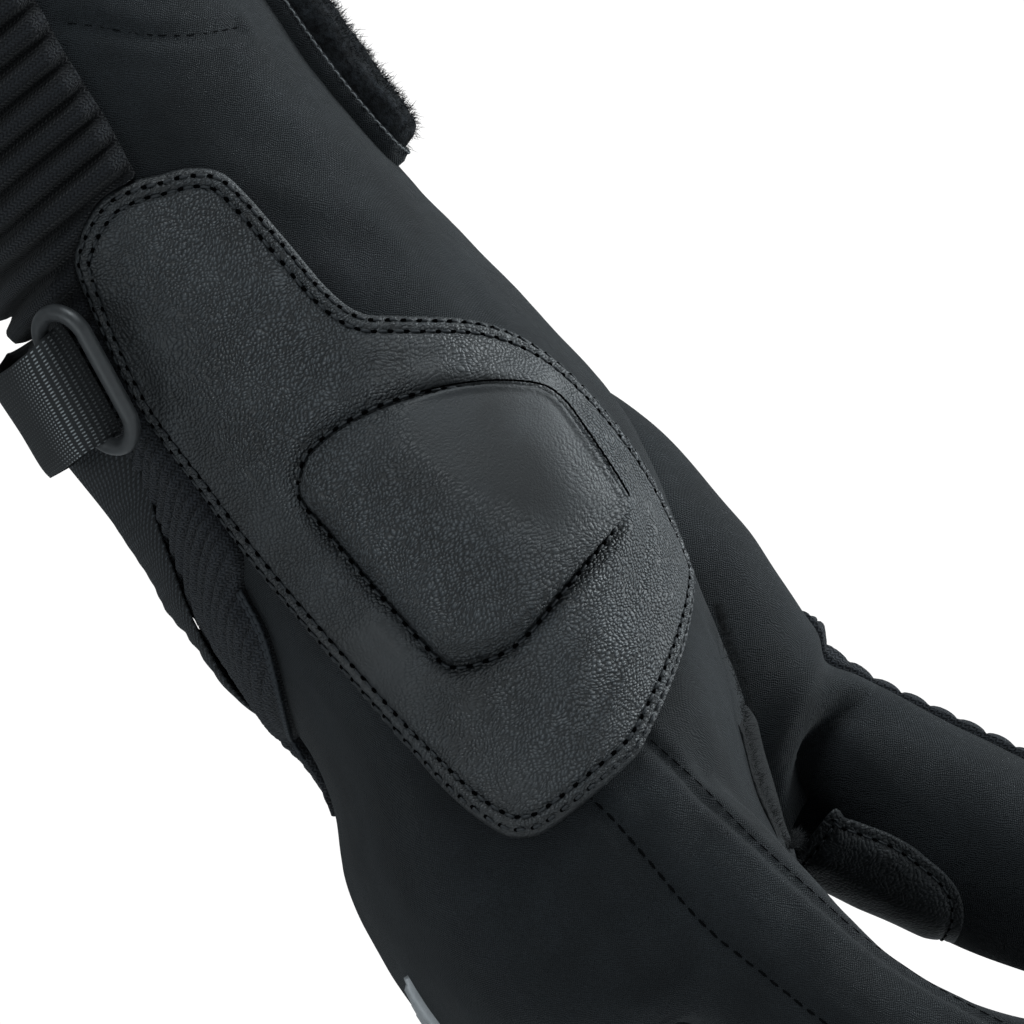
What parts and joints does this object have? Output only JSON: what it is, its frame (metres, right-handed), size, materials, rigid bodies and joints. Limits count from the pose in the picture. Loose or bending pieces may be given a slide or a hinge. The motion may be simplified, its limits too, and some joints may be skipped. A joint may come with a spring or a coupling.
{
  "type": "motorcycle glove",
  "caption": "Black winter motorcycle glove for the left hand in its worn shape, with a ribbed wrist, leather heel patch, palm slider and a strap with a wire ring.",
  "frame": {"origin": "middle of the cuff opening, in the plane of its edge", "axes": "+Z from the fingers out of the cuff along the forearm, +X out of the palm, -X out of the back of the hand, -Y out of the little finger's side, +Y out of the thumb's side"},
  "size_m": [0.0897, 0.1067, 0.2286],
  "materials": {
    "softshell": "matte woven softshell",
    "grain_leather": "pebbled, slightly shiny",
    "rib_knit": "matte ribbed knit",
    "grip_suede": "matte suede",
    "webbing": "woven, slightly shiny",
    "twill_tape": "matte twill",
    "binding_tape": "matte woven tape",
    "tab_fabric": "matte woven fabric",
    "loop_pile": "fuzzy loops",
    "reflective_film": "satin grey retroreflective film",
    "coated_wire": "satin black coating"
  },
  "bodies": {
    "root": {"hand_shell": "softshell", "thumb_shell": "softshell", "wrist_accordion": "rib_knit", "heel_patch": "grain_leather", "slider_pad": "grain_leather", "palm_panel": "grip_suede", "thumb_accordion": "rib_knit", "thumb_patch": "grain_leather", "reflective_insert": "reflective_film", "wrist_strap": "webbing", "back_strap": "twill_tape", "oval_ring": "coated_wire", "closure_tab": "tab_fabric", "loop_pile": "loop_pile", "cuff_binding": "binding_tape"}
  },
  "joints": []
}
